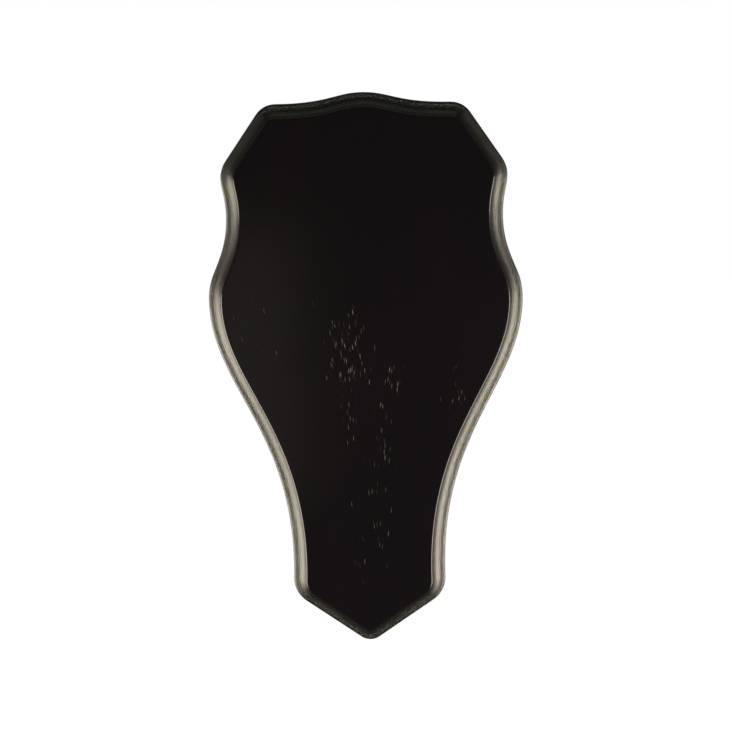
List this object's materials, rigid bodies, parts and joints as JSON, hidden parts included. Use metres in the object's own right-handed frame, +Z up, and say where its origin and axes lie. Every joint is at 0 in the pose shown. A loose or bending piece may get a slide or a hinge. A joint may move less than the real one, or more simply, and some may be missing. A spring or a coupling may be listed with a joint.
{
  "type": "wooden trophy plaque",
  "caption": "Blank shield-shaped hardwood wall plaque with a routed cove edge, a keyhole hanger plate let into its back and felt wall pads.",
  "frame": {"origin": "on the board's flat back, on the centre line, half way between the crest and the tip", "axes": "+Z up towards the crest; the face looks along -Y and the wall is on the +Y side; +X to the right as seen from the front"},
  "size_m": [0.1462, 0.0203, 0.2598],
  "materials": {
    "stained_oak": "black-stained open-pore oak, satin",
    "zinc_steel": "bright zinc plating",
    "felt": "pressed wool felt, matt"
  },
  "bodies": {
    "root": {"shield_board": "stained_oak", "hanger_plate": "zinc_steel", "hanger_screw_upper": "zinc_steel", "hanger_screw_lower": "zinc_steel", "felt_pad_upper_left": "felt", "felt_pad_upper_right": "felt", "felt_pad_lower_left": "felt", "felt_pad_lower_right": "felt"}
  },
  "joints": []
}
